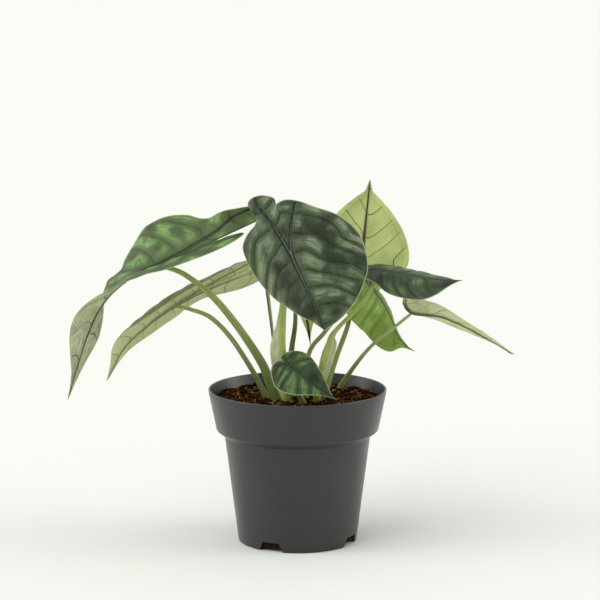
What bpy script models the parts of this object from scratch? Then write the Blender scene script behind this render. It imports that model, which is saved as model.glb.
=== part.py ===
"""Potted alocasia: a dark nursery pot, its potting mix, and a clump of leaves.

The pot stands on z = 0 with its axis on the z axis. The front of the plant faces -y.
Plant points are in millimetres from the middle of the mix's surface.
"""

import math

import bmesh
import bpy
import numpy as np
from mathutils import Vector

MM = 0.001

# Pot, in millimetres.
POT_HEIGHT = 104.0
RIM_RADIUS = 60.0
BAND_HEIGHT = 27.6
BAND_TAPER = 5.4
LEDGE_WIDTH = 5.4
LEDGE_DROP = 4.0
BASE_RADIUS = 40.0
WALL = 1.2
FLOOR = 1.8
POT_SEGMENTS = 72

# Drainage notches where the wall meets the floor.
NOTCH_COUNT = 4
NOTCH_FIRST_DEG = 243.5
NOTCH_WIDTH_LOW = 17.5
NOTCH_WIDTH_HIGH = 12.0
NOTCH_HEIGHT = 6.2
NOTCH_DEPTH = 6.0

# Potting mix.
MIX_BELOW_RIM = 7.5
GAP = 0.3
MIX_RINGS = 9
MIX_SEGMENTS = 48
MIX_ROUGHNESS = 0.7
ROOTED_DEPTH = 8.0

# Plant.
PLANT_SCALE = 1.0
BLADE_THICKNESS = 0.6
BLADE_STEPS = 18
BLADE_RINGS = 4
STALK_SIDES = 10
STALK_STEPS = 3
STALK_LEAVES_BLADE = 5.0
STALK_END_SLACK = 0.15

GREEN_DEEP = (0.085, 0.125, 0.075)
GREEN_MID = (0.12, 0.19, 0.08)
GREEN_BRIGHT = (0.22, 0.36, 0.07)
GREEN_PALE = (0.36, 0.42, 0.15)

# Each leaf: the midrib as (share of the way from stalk to tip, x, y, z), the way its upper side
# faces at the stalk, the half widths to the left and right of the midrib, then tables against
# the same share: the twist, and for the left and right halves the fold at the midrib and the
# curl out to the edge, in degrees. A lobe length and a sinus depth are shares of the midrib. A half
# that differs from the plain heart shape has its own outline, as (share, share of the half width).
LEAVES = {
    "leaf_front": dict(
        midrib=((-0.7, -14.0, -24.0, 135.5), (0.0, -3.5, -38.0, 103.0), (0.5, 7.5, -47.0, 80.0),
                (1.0, 18.0, -52.0, 56.0)),
        faces=(-0.05, -0.9, 0.42), widths=(47.0, 39.0), twist=((0.0, 0.0),),
        fold=((-0.7, 0, -2), (0.0, 0, -12), (0.5, 2, -24), (1.0, 6, -8)),
        curl=((-0.7, -20, -45), (0.0, -8, -48), (0.5, -10, -52), (1.0, -20, -40)),
        lobe=0.74, sinus=0.32, shoulder=1.0, colour=GREEN_DEEP,
        left=((-0.32, 0.0), (-0.6, 0.004), (-0.7, 0.006), (-0.73, 0.14), (-0.67, 0.32), (-0.55, 0.52),
              (-0.39, 0.77), (-0.2, 0.92), (0.05, 1.0), (0.3, 0.98), (0.5, 0.9), (0.68, 0.73),
              (0.82, 0.54), (0.93, 0.3), (1.0, 0.0)),
        right=((-0.32, 0.0), (-0.62, 0.004), (-0.78, 0.006), (-0.86, 0.18), (-0.87, 0.36), (-0.82, 0.47),
               (-0.73, 0.45), (-0.6, 0.4), (-0.53, 0.46), (-0.46, 0.64), (-0.33, 0.82), (-0.1, 0.83),
               (0.15, 0.74), (0.42, 0.62), (0.66, 0.38), (0.85, 0.14), (1.0, 0.0)),
        stalk=((-6.5, -12.0, 0.0, 6.0, 4.5), (-11.0, -13.0, 18.0, 9.5, 3.6),
               (-13.0, -15.0, 37.0, 10.5, 3.2), (-11.0, -15.0, 53.0, 6.6, 3.4),
               (-9.5, -17.0, 66.0, 4.8, 4.0), (-8.0, -21.0, 82.0, 4.2, 3.8)),
        end=3.0),
    "leaf_left_upper": dict(
        midrib=((-0.5, -37.5, 5.0, 114.5), (0.0, -91.0, -2.0, 92.5), (0.3, -113.0, -6.0, 83.5),
                (0.5, -128.0, -8.0, 69.5), (0.8, -144.0, -7.0, 35.5), (1.0, -154.5, -6.0, 0.5)),
        faces=(-0.1, -0.42, 0.9), widths=(36.0, 36.0),
        twist=((-0.5, 5), (0.0, 0), (0.25, -12), (0.42, -27), (0.55, -48), (0.75, -74), (1.0, -82)),
        fold=((-0.5, 25, 14), (0.0, 26, 16), (0.3, 20, 0), (0.5, 10, 18), (0.8, 8, 16), (1.0, 10, 10)),
        curl=((-0.6, 0, 190), (-0.48, 0, 140), (-0.38, 0, 15), (0.0, 0, -5), (0.4, -10, -10),
              (1.0, -10, -10)),
        lobe=0.50, sinus=0.26, shoulder=0.0, colour=GREEN_MID,
        right=((-0.26, 0.0), (-0.45, 0.02), (-0.62, 0.05), (-0.68, 0.16), (-0.61, 0.34), (-0.5, 0.45),
               (-0.35, 0.56), (-0.26, 0.82), (-0.13, 1.0), (0.05, 0.99), (0.2, 0.86), (0.4, 0.74),
               (0.6, 0.62), (0.77, 0.42), (0.89, 0.17), (1.0, 0.0)),
        stalk=((-13.5, -5.0, 0.0, 8.5, 6.0), (-19.0, -5.5, 14.0, 6.6, 5.0),
               (-24.5, -6.0, 27.0, 5.8, 4.6), (-39.5, -8.0, 50.5, 5.0, 4.2),
               (-56.5, -9.0, 71.5, 4.4, 3.8), (-75.0, -7.0, 86.0, 3.6, 3.4)),
        end=3.0),
    "leaf_left_lower": dict(
        midrib=((-0.8, -31.0, 20.0, 86.0), (0.0, -83.0, 22.0, 61.0), (0.4, -104.0, 24.0, 45.0),
                (0.75, -120.5, 24.0, 27.5), (1.0, -130.0, 22.0, 8.0)),
        faces=(-0.3, 0.48, 0.8), widths=(29.0, 28.0), twist=((0.0, 0.0),),
        fold=((-0.7, 20, 3), (0.0, 20, 2), (1.0, 14, 2)),
        curl=((-0.7, -68, 0), (0.0, -74, -5), (1.0, -60, -5)),
        lobe=0.88, sinus=0.45, shoulder=0.0, colour=GREEN_PALE,
        left=((-0.45, 0.0), (-0.66, 0.01), (-0.8, 0.03), (-0.88, 0.22), (-0.86, 0.48), (-0.68, 0.74),
              (-0.3, 0.93), (0.07, 1.0), (0.36, 0.9), (0.6, 0.65), (0.76, 0.38), (0.86, 0.16), (1.0, 0.0)),
        right=((-0.45, 0.0), (-0.66, 0.01), (-0.8, 0.03), (-0.9, 0.3), (-0.89, 0.7), (-0.8, 1.02),
               (-0.68, 1.1), (-0.57, 1.04), (-0.43, 0.8), (-0.27, 0.55), (-0.08, 0.56), (0.12, 0.66),
               (0.36, 0.56), (0.6, 0.38), (0.82, 0.17), (1.0, 0.0)),
        stalk=((-21.5, 6.0, 0.0, 5.2, 4.4), (-26.0, 8.0, 9.5, 3.8, 3.4), (-32.5, 10.0, 21.0, 3.5, 3.2),
               (-45.5, 14.0, 40.0, 3.3, 3.0), (-59.0, 17.0, 53.0, 3.1, 2.8),
               (-72.0, 18.5, 58.0, 2.7, 2.6)),
        end=2.3),
    "leaf_back_upright": dict(
        midrib=((-0.6, 44.5, 57.0, 65.0), (0.0, 44.5, 57.0, 88.0), (0.5, 47.0, 59.0, 112.5),
                (1.0, 50.0, 63.0, 141.5)),
        faces=(0.1, 1.0, 0.1), widths=(32.5, 32.0), twist=((0.0, 0.0),),
        fold=((-0.7, 5, 5), (1.0, 5, 5)), curl=((-0.7, -10, -10), (1.0, -10, -10)),
        lobe=0.60, sinus=0.30, shoulder=-0.6, colour=GREEN_PALE,
        stalk=((18.0, 10.0, 0.0, 5.5, 4.5), (22.5, 15.0, 14.0, 4.0, 3.6), (27.5, 22.0, 27.5, 3.4, 3.2),
               (34.5, 33.0, 45.0, 3.1, 3.0), (37.0, 43.0, 58.0, 3.0, 2.8), (39.5, 51.0, 73.0, 2.6, 2.5)),
        end=2.2),
    "leaf_right_upper": dict(
        midrib=((-0.4, 45.0, 6.0, 88.5), (0.0, 55.0, 1.0, 88.0), (0.5, 77.0, -5.0, 85.0),
                (0.8, 96.0, -9.0, 83.0), (1.0, 110.0, -11.0, 83.0)),
        faces=(0.1, -0.3, 0.95), widths=(25.0, 20.0), twist=((0.0, 0.0),),
        fold=((-0.7, -9, -20), (0.3, -12, -18), (1.0, -12, -12)), curl=((-0.7, -12, -25), (1.0, -12, -20)),
        lobe=0.50, sinus=0.25, shoulder=1.3, colour=GREEN_DEEP,
        right=((-0.25, 0.0), (-0.42, 0.04), (-0.5, 0.2), (-0.4, 0.4), (-0.15, 0.5), (0.07, 0.66),
               (0.22, 0.86), (0.38, 0.97), (0.55, 1.0), (0.68, 0.93), (0.78, 0.68), (0.87, 0.34),
               (0.94, 0.13), (1.0, 0.0)),
        stalk=((12.5, -9.5, 0.0, 4.6, 3.8), (15.5, -9.5, 12.5, 6.0, 3.6), (19.5, -8.5, 28.0, 8.8, 3.2),
               (22.5, -8.0, 38.5, 7.6, 3.0), (25.0, -7.5, 47.5, 3.4, 2.6), (45.0, -5.0, 68.5, 2.7, 2.5)),
        end=2.2),
    "leaf_right_hanging": dict(
        midrib=((-0.4, 41.5, 37.0, 85.0), (0.0, 49.5, 35.0, 73.0), (0.6, 63.5, 35.0, 51.5),
                (0.85, 71.5, 35.0, 33.5), (1.0, 80.5, 36.0, 26.0)),
        faces=(0.15, -0.85, 0.45), widths=(14.0, 26.0), twist=((0.0, 0.0),),
        fold=((-0.7, -20, 5), (0.0, -14, 2), (0.25, -50, 4), (1.0, -62, 5)),
        curl=((-0.7, -30, -10), (0.0, -40, -10), (1.0, -10, -25)),
        lobe=0.50, sinus=0.25, shoulder=1.9, colour=GREEN_BRIGHT,
        right=((-0.25, 0.0), (-0.42, 0.04), (-0.5, 0.22), (-0.46, 0.5), (-0.3, 0.78), (0.0, 0.96),
               (0.3, 1.0), (0.56, 0.92), (0.74, 0.74), (0.84, 0.48), (0.89, 0.14), (1.0, 0.0)),
        stalk=((5.0, 2.0, 0.0, 5.0, 4.0), (5.0, 6.0, 17.0, 3.6, 3.4), (9.0, 12.0, 32.0, 3.1, 3.0),
               (17.5, 18.0, 41.5, 2.9, 2.8), (27.0, 26.0, 52.0, 2.8, 2.7), (36.0, 36.0, 62.5, 2.5, 2.4)),
        end=2.0),
    "leaf_right_lower": dict(
        midrib=((-0.4, 72.0, 18.0, 66.0), (0.0, 78.0, 15.0, 57.5), (0.4, 100.5, 14.0, 53.5),
                (0.8, 132.0, 12.0, 37.5), (1.0, 147.0, 12.0, 28.0)),
        faces=(0.2, 0.4, 0.9), widths=(24.0, 27.0), twist=((0.0, 0.0),),
        fold=((-0.7, 5, 14), (0.3, 5, 10), (1.0, 0, -5)), curl=((-0.7, 0, -5), (1.0, 0, -15)),
        lobe=0.50, sinus=0.25, shoulder=-1.0, colour=GREEN_PALE,
        left=((-0.25, 0.0), (-0.42, 0.04), (-0.45, 0.25), (-0.3, 0.4), (-0.05, 0.42), (0.14, 0.52),
              (0.28, 0.78), (0.42, 0.95), (0.54, 0.82), (0.66, 0.5), (0.78, 0.26), (0.9, 0.08),
              (1.0, 0.0)),
        right=((-0.25, 0.0), (-0.42, 0.05), (-0.45, 0.3), (-0.34, 0.62), (-0.15, 0.9), (0.06, 0.96),
               (0.24, 0.8), (0.4, 0.55), (0.56, 0.38), (0.74, 0.27), (0.88, 0.14), (1.0, 0.0)),
        stalk=((29.0, 30.5, 0.0, 5.0, 4.0), (33.5, 29.5, 9.0, 3.4, 3.0), (42.5, 26.0, 22.5, 2.8, 2.6),
               (52.0, 22.0, 34.0, 2.4, 2.3), (65.0, 17.5, 45.5, 2.2, 2.1)),
        end=1.9),
    "leaf_small_front": dict(
        midrib=((-0.5, -11.0, -26.0, 31.5), (0.0, -3.5, -29.0, 28.0), (0.5, 7.5, -34.0, 19.5),
                (1.0, 26.0, -37.0, 7.0)),
        faces=(-0.05, -0.75, 0.65), widths=(17.0, 19.0), twist=((0.0, 0.0),),
        fold=((-0.7, -15, 5), (1.0, -5, 10)), curl=((-0.7, -20, -20), (1.0, -20, -20)),
        lobe=0.62, sinus=0.28, shoulder=0.0, colour=GREEN_DEEP,
        left=((-0.28, 0.0), (-0.48, 0.03), (-0.6, 0.16), (-0.57, 0.4), (-0.42, 0.64), (-0.18, 0.86),
              (0.08, 0.99), (0.32, 0.92), (0.52, 0.77), (0.68, 0.52), (0.8, 0.28), (0.9, 0.09),
              (1.0, 0.0)),
        right=((-0.28, 0.0), (-0.5, 0.03), (-0.64, 0.14), (-0.69, 0.34), (-0.61, 0.58), (-0.4, 0.8),
               (-0.05, 0.97), (0.25, 0.97), (0.46, 0.78), (0.62, 0.5), (0.76, 0.26), (0.88, 0.1),
               (1.0, 0.0)),
        stalk=((3.5, -12.0, 0.0, 4.5, 3.5), (-0.5, -15.0, 9.0, 3.0, 2.7), (-3.5, -20.5, 17.5, 2.4, 2.2)),
        end=1.8),
    "leaf_back_hidden": dict(
        midrib=((-0.4, -5.0, 34.0, 102.0), (0.0, -2.5, 32.0, 88.5), (0.5, 3.5, 29.0, 64.0),
                (0.8, 7.0, 27.0, 46.0), (1.0, 9.0, 26.0, 31.5)),
        faces=(0.1, 0.9, 0.3), widths=(14.0, 14.0), twist=((0.0, 0.0),),
        fold=((-0.7, 25, 25), (1.0, 40, 40)), curl=((-0.7, 10, 10), (1.0, 10, 10)),
        lobe=0.50, sinus=0.25, shoulder=0.0, colour=GREEN_PALE,
        stalk=((-4.5, 9.0, 0.0, 6.0, 5.0), (-5.0, 12.0, 16.0, 4.4, 4.0), (-4.0, 16.0, 31.0, 3.7, 3.4),
               (-1.5, 20.0, 49.0, 3.0, 2.8), (-2.0, 24.5, 68.0, 2.6, 2.4)),
        end=2.2),
}


def unit(vectors):
    """The same directions with length one."""
    vectors = np.asarray(vectors, float)
    return vectors / np.linalg.norm(vectors, axis=-1, keepdims=True)


def spline(points, at):
    """A smooth curve through the points, read at positions counted in points from zero."""
    points = np.asarray(points, float)
    ends = [2 * points[0] - points[1], 2 * points[-1] - points[-2]]
    framed = np.vstack([ends[0], points, ends[1]])
    start = np.minimum(np.asarray(at).astype(int), len(points) - 2)
    part = (at - start)[:, None]
    a, b, c, d = framed[start], framed[start + 1], framed[start + 2], framed[start + 3]
    return 0.5 * (2 * b + (c - a) * part + (2 * a - 5 * b + 4 * c - d) * part ** 2
                  + (3 * b - a - 3 * c + d) * part ** 3)


def smooth_table(rows, at):
    """A smooth curve through rows of (place, value, ...) whose places are unevenly spaced."""
    rows = np.asarray(rows, float)
    place, value = rows[:, 0], rows[:, 1:]
    slope = np.diff(value, axis=0) / np.diff(place)[:, None]
    span = np.diff(place)[:, None]
    inner = (slope[:-1] * span[1:] + slope[1:] * span[:-1]) / (span[:-1] + span[1:])
    tangent = np.vstack([1.5 * slope[0] - 0.5 * inner[0], inner, 1.5 * slope[-1] - 0.5 * inner[-1]])
    i = np.clip(np.searchsorted(place, at) - 1, 0, len(place) - 2)
    s = ((at - place[i]) / (place[i + 1] - place[i]))[:, None]
    h = span[i]
    return ((2 * s ** 3 - 3 * s ** 2 + 1) * value[i] + (s ** 3 - 2 * s ** 2 + s) * h * tangent[i]
            + (3 * s ** 2 - 2 * s ** 3) * value[i + 1] + (s ** 3 - s ** 2) * h * tangent[i + 1])


def plant_point(x, y, z):
    """A plant point in millimetres from the middle of the mix's surface, in the pot's frame."""
    return np.array([x, y, z]) * PLANT_SCALE + np.array([0.0, 0.0, POT_HEIGHT - MIX_BELOW_RIM])


class Blade:
    """A heart-shaped blade laid along a curved, twisting midrib."""

    STEPS = 191

    def __init__(self, leaf):
        self.leaf = leaf
        rows = [(row[0], *plant_point(*row[1:])) for row in leaf["midrib"]]
        self.share = np.linspace(-0.9, 1.0, self.STEPS)
        self.centre = smooth_table(rows, self.share)
        self.along = unit(np.gradient(self.centre, self.share, axis=0))
        self.up = self.carry_up(unit(leaf["faces"]))
        table = leaf["twist"]
        turn = np.radians(np.interp(self.share, [row[0] for row in table], [row[1] for row in table]))
        side = np.cross(self.up, self.along)
        cos, sin = np.cos(turn)[:, None], np.sin(turn)[:, None]
        self.side = side * cos - self.up * sin
        self.up = self.up * cos + side * sin

    def carry_up(self, faces):
        """The facing direction carried along the midrib without any twist."""
        up = np.zeros_like(self.centre)
        root = int(np.argmin(abs(self.share)))
        for order in (range(root, self.STEPS), range(root, -1, -1)):
            last = faces
            for i in order:
                last = unit(last - self.along[i] * (last @ self.along[i]))
                up[i] = last
        return up

    def read(self, values, share):
        """A value of the midrib at any share of its length."""
        place = np.clip((share - self.share[0]) / (self.share[1] - self.share[0]), 0, self.STEPS - 1.001)
        i = place.astype(int)
        part = (place - i)[..., None]
        return values[i] * (1 - part) + values[i + 1] * part

    def point(self, share, across):
        """The middle surface at a share of the midrib and a distance across it, left positive."""
        left = across >= 0

        def table(name):
            rows = np.asarray(self.leaf[name], float)
            picked = np.where(left, np.interp(share, rows[:, 0], rows[:, 1]),
                              np.interp(share, rows[:, 0], rows[:, 2]))
            return np.radians(picked)

        widths = np.array(self.leaf["widths"]) * PLANT_SCALE
        fold = table("fold")
        bend = table("curl") / np.where(left, widths[0], widths[1])
        bend = np.where(abs(bend) < 1e-6, 1e-6, bend)
        far = abs(across)
        out = (np.sin(fold + bend * far) - np.sin(fold)) / bend * np.where(left, 1, -1)
        rise = (np.cos(fold) - np.cos(fold + bend * far)) / bend
        return (self.read(self.centre, share) + self.read(self.side, share) * out[..., None]
                + self.read(self.up, share) * rise[..., None])

    def outline(self, half):
        """The left or right half's flat outline, from the sinus round the lobe to the tip, as shares."""
        lobe, sinus, shoulder = self.leaf["lobe"], self.leaf["sinus"], self.leaf["shoulder"]
        heart = ((-sinus, 0.0), (-0.69 * lobe, 0.04), (-0.9 * lobe, 0.1), (-lobe, 0.25),
                 (-0.96 * lobe, 0.46), (-0.74 * lobe, 0.72), (-0.33 * lobe, 0.93), (0.07, 1.0),
                 (0.36, 0.9 + 0.04 * shoulder), (0.6, 0.65 + 0.08 * shoulder),
                 (0.76, 0.38 + 0.1 * shoulder), (0.86, 0.16 + 0.1 * shoulder), (0.915, 0.055), (1.0, 0.0))
        points = self.leaf.get(half, heart)
        edge = spline(points, np.linspace(0, len(points) - 1, BLADE_STEPS + 1))
        return edge[:, 0], np.clip(edge[:, 1], 0, None)

    def grid(self):
        """Rings of points from the stalk's end out to the edge, all round the blade."""
        (share, across), (right_share, right_across) = self.outline("left"), self.outline("right")
        left, right = np.array(self.leaf["widths"]) * PLANT_SCALE
        share = np.concatenate([share, right_share[-2:0:-1]])
        across = np.concatenate([across * left, -right_across[-2:0:-1] * right])
        rings = np.linspace(0, 1, BLADE_RINGS + 1)[1:, None]
        return self.point(rings * share, rings * across)


def mesh_object(name, points, faces, colour, roughness=0.5):
    """An object in metres from points in millimetres, with its own material."""
    mesh = bpy.data.meshes.new(name)
    mesh.from_pydata([tuple(p) for p in np.asarray(points, float) * MM], [], faces)
    built = bmesh.new()
    built.from_mesh(mesh)
    bmesh.ops.recalc_face_normals(built, faces=built.faces)
    if built.calc_volume(signed=True) < 0:
        bmesh.ops.reverse_faces(built, faces=built.faces)
    built.to_mesh(mesh)
    built.free()
    obj = bpy.data.objects.new(name, mesh)
    bpy.context.scene.collection.objects.link(obj)
    if colour is not None:
        mesh.materials.append(material(name, colour, roughness))
    return obj


def material(name, colour, roughness):
    """A plain Principled material of its own for one piece."""
    made = bpy.data.materials.new(name)
    made.use_nodes = True
    shader = made.node_tree.nodes["Principled BSDF"]
    shader.inputs["Base Color"].default_value = (*colour, 1.0)
    shader.inputs["Roughness"].default_value = roughness
    return made


def cut(obj, cutter):
    """Takes the cutter's shape out of the object."""
    cutter.hide_render = True
    cutter.display_type = "WIRE"
    modifier = obj.modifiers.new(cutter.name, "BOOLEAN")
    modifier.operation = "DIFFERENCE"
    modifier.solver = "EXACT"
    modifier.object = cutter


def blade_object(name, leaf):
    """The blade as a thin closed body, equally thick on both sides of its middle surface."""
    blade = Blade(leaf)
    rings = blade.grid()
    count = rings.shape[1]
    root = blade.point(np.array([0.0]), np.array([0.0]))
    points = np.vstack([root, rings.reshape(-1, 3)])

    def at(ring, i):
        return 0 if ring < 0 else 1 + ring * count + i % count

    faces = [(0, at(0, i), at(0, i + 1)) for i in range(count)]
    for ring in range(BLADE_RINGS - 1):
        for i in range(count):
            near, far = (at(ring, i), at(ring, i + 1)), (at(ring + 1, i), at(ring + 1, i + 1))
            faces += [(near[0], far[0], far[1]), (near[0], far[1], near[1])]
    normals = np.zeros_like(points)
    for face in faces:
        a, b, c = points[list(face)]
        for corner in face:
            normals[corner] += np.cross(b - a, c - a)
    normals = unit(normals) * BLADE_THICKNESS / 2
    total = len(points)
    body = list(faces) + [tuple(total + v for v in reversed(face)) for face in faces]
    last = BLADE_RINGS - 1
    for i in range(count):
        a, b = at(last, i), at(last, i + 1)
        body += [(b, a, total + a), (b, total + a, total + b)]
    return mesh_object(name, np.vstack([points + normals, points - normals]), body, leaf["colour"])


def stalk_sections(leaf):
    """Places, widths and depths along a stalk, from its rooted end to just under its blade."""
    rows = [(*plant_point(*row[:3]), row[3] * PLANT_SCALE, row[4] * PLANT_SCALE) for row in leaf["stalk"]]
    first = np.array(rows[0])
    rooted = first - np.array([0.0, 0.0, ROOTED_DEPTH, 0.0, 0.0])
    blade = Blade(leaf)
    root = int(np.argmin(abs(blade.share)))
    attach, up = blade.centre[root], blade.up[root]
    end = leaf["end"] * PLANT_SCALE
    clear = BLADE_THICKNESS / 2 + GAP + STALK_END_SLACK * end
    bend = attach - up * (clear + STALK_LEAVES_BLADE * PLANT_SCALE)
    tip = attach - up * clear
    rows = [tuple(rooted)] + rows + [(*bend, end, end), (*tip, end, end)]
    return spline(rows, np.linspace(0, len(rows) - 1, STALK_STEPS * (len(rows) - 1) + 1)), up


def tube(sections, last_axis=None, grow=0.0):
    """Points and faces of an elliptical tube through sections of (x, y, z, width, depth)."""
    places = sections[:, :3]
    axis = unit(np.gradient(places, axis=0))
    if last_axis is not None:
        axis[-1] = last_axis
    wide = np.array([1.0, 0.0, 0.0])
    turns = np.linspace(0, 2 * math.pi, STALK_SIDES, endpoint=False)
    points = []
    for place, direction, (width, depth) in zip(places, axis, sections[:, 3:5]):
        wide = unit(wide - direction * (wide @ direction))
        deep = np.cross(direction, wide)
        for turn in turns:
            points.append(place + wide * math.cos(turn) * (width / 2 + grow)
                          + deep * math.sin(turn) * (depth / 2 + grow))
    rows = len(places)
    faces = [tuple(reversed(range(STALK_SIDES)))]
    for row in range(rows - 1):
        for i in range(STALK_SIDES):
            j = (i + 1) % STALK_SIDES
            low, high = row * STALK_SIDES, (row + 1) * STALK_SIDES
            faces.append((low + i, low + j, high + j, high + i))
    faces.append(tuple((rows - 1) * STALK_SIDES + i for i in range(STALK_SIDES)))
    return points, faces


def stalk_object(name, leaf):
    sections, up = stalk_sections(leaf)
    points, faces = tube(sections, last_axis=up)
    colour = GREEN_BRIGHT if leaf["colour"] is not GREEN_PALE else GREEN_MID
    return mesh_object(name, points, faces, colour)


def socket_cutter(name, leaf):
    """The rooted end of a stalk with the clearance added, to cut its socket in the mix."""
    sections, _ = stalk_sections(leaf)
    low = sections[: 2 * STALK_STEPS + 1].copy()
    low[0, 2] -= GAP
    points, faces = tube(low, grow=GAP)
    return mesh_object(name, points, faces, None)


def lathe(name, profile, segments, colour, roughness=0.5, height=None):
    """A solid of revolution. The profile runs from the axis round to the axis again."""
    points, rings = [], []
    for radius, z in profile:
        if radius == 0.0:
            rings.append([len(points)])
            points.append((0.0, 0.0, z + (height(0.0, 0.0, z) if height else 0.0)))
            continue
        rings.append(list(range(len(points), len(points) + segments)))
        for i in range(segments):
            turn = 2 * math.pi * i / segments
            x, y = radius * math.cos(turn), radius * math.sin(turn)
            points.append((x, y, z + (height(x, y, z) if height else 0.0)))
    faces = []
    for low, high in zip(rings, rings[1:]):
        for i in range(segments):
            j = (i + 1) % segments
            if len(low) == 1:
                faces.append((low[0], high[j], high[i]))
            elif len(high) == 1:
                faces.append((low[i], low[j], high[0]))
            else:
                faces.append((low[i], low[j], high[j], high[i]))
    return mesh_object(name, points, faces, colour, roughness)


def pot_outline():
    """The pot's outer profile upwards, as (radius, height)."""
    band = RIM_RADIUS - BAND_TAPER
    shelf = band - LEDGE_WIDTH
    low = POT_HEIGHT - BAND_HEIGHT
    return ((BASE_RADIUS, 0.0), (shelf, low - LEDGE_DROP), (band, low), (RIM_RADIUS, POT_HEIGHT))


def inner_radius(z, clearance=0.0):
    """The radius of the pot's inside at a height."""
    outline = pot_outline()
    radius = np.interp(z, [p[1] for p in outline], [p[0] for p in outline])
    return float(radius) - WALL - clearance


def pot_object():
    base, shelf, band, rim = pot_outline()
    lip = 0.4 * WALL
    profile = [
        (0.0, 0.0), (base[0] - 1.0, 0.0), (base[0], 1.0), shelf, band,
        (rim[0], rim[1] - lip), (rim[0] - lip, rim[1]), (rim[0] - WALL, rim[1] - lip / 2),
        (band[0] - WALL, band[1] + 0.3), (shelf[0] - WALL, shelf[1] + 0.6),
        (inner_radius(FLOOR), FLOOR), (0.0, FLOOR)]
    pot = lathe("nursery_pot", profile, POT_SEGMENTS, (0.045, 0.045, 0.05), 0.45)
    for i in range(NOTCH_COUNT):
        cut(pot, notch_cutter(i))
    return pot


def notch_cutter(index):
    """A wedge-sided block across the bottom edge of the pot's wall."""
    near, far = BASE_RADIUS - NOTCH_DEPTH, BASE_RADIUS + 4.0
    low, high = NOTCH_WIDTH_LOW / 2, NOTCH_WIDTH_HIGH / 2
    below = -1.0
    slope = (low - high) / NOTCH_HEIGHT
    section = [(-low + slope * below, below), (low - slope * below, below),
               (high, NOTCH_HEIGHT), (-high, NOTCH_HEIGHT)]
    turn = math.radians(NOTCH_FIRST_DEG + 360 * index / NOTCH_COUNT)
    out, side = np.array([math.cos(turn), math.sin(turn)]), np.array([-math.sin(turn), math.cos(turn)])
    points = [(*(out * reach + side * across), z) for reach in (near, far) for across, z in section]
    faces = [(0, 1, 2, 3), (7, 6, 5, 4)]
    faces += [(i, (i + 1) % 4, 4 + (i + 1) % 4, 4 + i) for i in range(4)]
    return mesh_object(f"notch_cutter_{index}", points, faces, None)


def mix_height(x, y, z):
    """The unevenness of the mix's surface, none at its sides or below."""
    if z < POT_HEIGHT - MIX_BELOW_RIM - 0.01:
        return 0.0
    wave = math.sin(0.16 * x + 0.4) * math.cos(0.13 * y - 0.7) + 0.5 * math.sin(0.31 * x - 0.27 * y)
    return MIX_ROUGHNESS * wave


def mix_object():
    top = POT_HEIGHT - MIX_BELOW_RIM
    edge = inner_radius(top - 1.5, GAP)
    _, shelf, band, _ = pot_outline()
    floor = FLOOR + GAP
    profile = [(0.0, floor), (inner_radius(floor, GAP) - 0.3, floor),
               (shelf[0] - WALL - GAP - 0.3, shelf[1] + 0.6), (band[0] - WALL - GAP - 0.2, band[1] + 1.0),
               (edge, top - 1.5)]
    profile += [(edge * (1 - i / MIX_RINGS), top) for i in range(1, MIX_RINGS)] + [(0.0, top)]
    mix = lathe("potting_mix", profile, MIX_SEGMENTS, (0.055, 0.035, 0.022), 0.95, mix_height)
    for name, leaf in LEAVES.items():
        cut(mix, socket_cutter(f"socket_{name}", leaf))
    return mix


def main():
    for obj in list(bpy.data.objects):
        bpy.data.objects.remove(obj)
    pot_object()
    mix_object()
    for name, leaf in LEAVES.items():
        blade_object(name.replace("leaf", "blade"), leaf)
        stalk_object(name.replace("leaf", "petiole"), leaf)


main()
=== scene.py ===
"""The looks of the potted alocasia: veined, quilted blades, striped stalks, a plastic pot and its mix.

Plant points are in millimetres from the middle of the mix's surface, as in the part's own source.
Everything else is in millimetres in the pot's frame, and becomes metres when a mesh is made.
"""

import math

import bmesh
import bpy
import numpy as np
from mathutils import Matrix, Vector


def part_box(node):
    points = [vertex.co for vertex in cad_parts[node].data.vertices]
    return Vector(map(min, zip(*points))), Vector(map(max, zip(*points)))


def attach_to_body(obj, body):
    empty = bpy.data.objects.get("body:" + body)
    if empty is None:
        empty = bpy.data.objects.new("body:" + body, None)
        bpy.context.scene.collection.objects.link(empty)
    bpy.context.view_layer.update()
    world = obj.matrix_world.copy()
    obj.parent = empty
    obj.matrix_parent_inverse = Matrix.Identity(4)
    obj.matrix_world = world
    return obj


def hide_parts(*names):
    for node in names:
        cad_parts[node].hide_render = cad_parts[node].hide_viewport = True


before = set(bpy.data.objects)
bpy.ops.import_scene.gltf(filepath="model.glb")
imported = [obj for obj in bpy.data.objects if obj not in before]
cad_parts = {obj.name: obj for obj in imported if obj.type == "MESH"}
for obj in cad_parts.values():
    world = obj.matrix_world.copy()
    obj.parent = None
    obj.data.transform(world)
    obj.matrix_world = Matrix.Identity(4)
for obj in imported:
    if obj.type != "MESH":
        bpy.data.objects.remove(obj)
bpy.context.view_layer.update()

MM = 0.001
SEED = 11

# Pot, in millimetres. Its height and rim radius are read from the frame.
POT_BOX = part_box("nursery_pot")
POT_HEIGHT = POT_BOX[1].z / MM
RIM_RADIUS = POT_BOX[1].x / MM
BAND_HEIGHT = 27.6
BAND_TAPER = 5.4
LEDGE_WIDTH = 5.4
LEDGE_DROP = 4.0
BASE_RADIUS = 40.0
WALL = 1.2
FLOOR = 1.8
FOOT_RING = ((32.0, 0.0), (34.0, 0.6), (37.5, 0.6), (38.6, 0.0))
POT_SEGMENTS = 180
POT_SHARP_DEG = 40

NOTCH_COUNT = 4
NOTCH_FIRST_DEG = 243.5
NOTCH_WIDTH_LOW = 17.5
NOTCH_WIDTH_HIGH = 12.0
NOTCH_HEIGHT = 6.2
NOTCH_DEPTH = 6.0

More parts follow.
